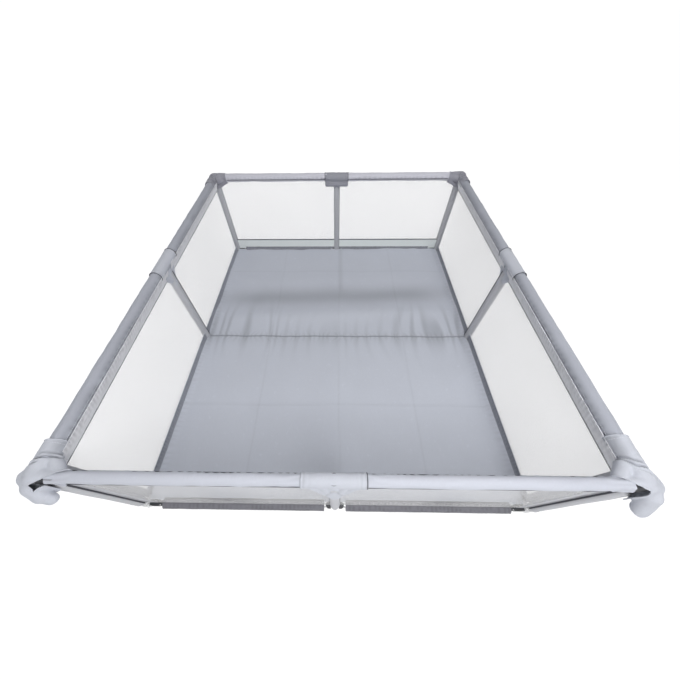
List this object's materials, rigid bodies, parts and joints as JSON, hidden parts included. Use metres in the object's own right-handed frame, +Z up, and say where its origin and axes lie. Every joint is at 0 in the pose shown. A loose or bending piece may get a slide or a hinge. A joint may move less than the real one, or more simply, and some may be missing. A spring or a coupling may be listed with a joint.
{
  "type": "folding playpen",
  "caption": "Rectangular folding playpen with padded rails on tube legs, fine mesh walls, cloth corner boots and a cloth floor.",
  "frame": {"origin": "middle of the footprint, at the underside of the feet", "axes": "+X to the right along the front wall, +Y back along the side walls, +Z up"},
  "size_m": [1.8, 2, 0.65],
  "materials": {
    "padded_cloth": "woven cloth over foam",
    "cover_cloth": "woven cloth",
    "floor_cloth": "smooth woven cloth",
    "mesh_cloth": "fine knitted mesh",
    "painted_tube": "satin paint",
    "joint_plastic": "matte",
    "foot_plastic": "satin"
  },
  "bodies": {
    "back_centre": {"back_centre_cover": "cover_cloth", "back_centre_foot": "foot_plastic", "back_centre_joint": "joint_plastic", "back_centre_post": "painted_tube"},
    "back_left_half": {"back_left_bottom_tube": "painted_tube", "back_left_mesh": "mesh_cloth", "back_left_rail_sleeve": "padded_cloth", "back_left_top_tube": "painted_tube"},
    "back_right_half": {"back_right_bottom_tube": "painted_tube", "back_right_mesh": "mesh_cloth", "back_right_rail_sleeve": "padded_cloth", "back_right_top_tube": "painted_tube"},
    "left_wall": {"floor_sheet": "floor_cloth", "left_back_boot": "cover_cloth", "left_back_corner_joint": "joint_plastic", "left_back_foot": "foot_plastic", "left_back_mesh": "mesh_cloth", "left_back_post": "painted_tube", "left_bottom_tube": "painted_tube", "left_centre_cover": "cover_cloth", "left_centre_foot": "foot_plastic", "left_centre_post": "painted_tube", "left_centre_saddle": "joint_plastic", "left_front_boot": "cover_cloth", "left_front_corner_joint": "joint_plastic", "left_front_foot": "foot_plastic", "left_front_mesh": "mesh_cloth", "left_front_post": "painted_tube", "left_rail_sleeve": "padded_cloth", "left_top_tube": "painted_tube"},
    "front_centre": {"front_centre_cover": "cover_cloth", "front_centre_foot": "foot_plastic", "front_centre_joint": "joint_plastic", "front_centre_post": "painted_tube"},
    "front_left_half": {"front_left_bottom_tube": "painted_tube", "front_left_mesh": "mesh_cloth", "front_left_rail_sleeve": "padded_cloth", "front_left_top_tube": "painted_tube"},
    "front_right_half": {"front_right_bottom_tube": "painted_tube", "front_right_mesh": "mesh_cloth", "front_right_rail_sleeve": "padded_cloth", "front_right_top_tube": "painted_tube"},
    "right_wall": {"right_back_boot": "cover_cloth", "right_back_corner_joint": "joint_plastic", "right_back_foot": "foot_plastic", "right_back_mesh": "mesh_cloth", "right_back_post": "painted_tube", "right_bottom_tube": "painted_tube", "right_centre_cover": "cover_cloth", "right_centre_foot": "foot_plastic", "right_centre_post": "painted_tube", "right_centre_saddle": "joint_plastic", "right_front_boot": "cover_cloth", "right_front_corner_joint": "joint_plastic", "right_front_foot": "foot_plastic", "right_front_mesh": "mesh_cloth", "right_front_post": "painted_tube", "right_rail_sleeve": "padded_cloth", "right_top_tube": "painted_tube"}
  },
  "joints": [
    {"name": "front_middle_left_hinge", "type": "hinge", "parent": "front_centre", "child": "front_left_half", "pos_m": [-0.028, -0.969, 0], "axis": [0, 0, 1], "range_deg": [0, 90], "deforming": ["front_centre_cover"]},
    {"name": "front_left_hinge", "type": "hinge", "parent": "front_left_half", "child": "left_wall", "pos_m": [-0.813, -0.969, 0], "axis": [0, 0, 1], "range_deg": [-90, 0], "deforming": ["floor_sheet", "left_front_boot"]},
    {"name": "back_left_hinge", "type": "hinge", "parent": "left_wall", "child": "back_left_half", "pos_m": [-0.813, 0.969, 0], "axis": [0, 0, 1], "range_deg": [-90, 0], "deforming": ["left_back_boot"]},
    {"name": "back_middle_left_hinge", "type": "hinge", "parent": "back_left_half", "child": "back_centre", "pos_m": [-0.028, 0.969, 0], "axis": [0, 0, 1], "range_deg": [0, 90], "deforming": ["back_centre_cover"]},
    {"name": "front_middle_right_hinge", "type": "hinge", "parent": "front_centre", "child": "front_right_half", "pos_m": [0.028, -0.969, 0], "axis": [0, 0, 1], "range_deg": [-90, 0]},
    {"name": "front_right_hinge", "type": "hinge", "parent": "front_right_half", "child": "right_wall", "pos_m": [0.813, -0.969, 0], "axis": [0, 0, 1], "range_deg": [0, 90], "deforming": ["right_front_boot"]},
    {"name": "back_right_hinge", "type": "hinge", "parent": "right_wall", "child": "back_right_half", "pos_m": [0.813, 0.969, 0], "axis": [0, 0, 1], "range_deg": [0, 90], "deforming": ["right_back_boot"]}
  ],
  "couplings": [
    {"joint": "front_left_hinge", "follows": "front_middle_left_hinge", "ratio": -1},
    {"joint": "back_left_hinge", "follows": "front_middle_left_hinge", "ratio": -1},
    {"joint": "back_middle_left_hinge", "follows": "front_middle_left_hinge", "ratio": 1},
    {"joint": "front_middle_right_hinge", "follows": "front_middle_left_hinge", "ratio": -1},
    {"joint": "front_right_hinge", "follows": "front_middle_left_hinge", "ratio": 1},
    {"joint": "back_right_hinge", "follows": "front_middle_left_hinge", "ratio": 1}
  ]
}
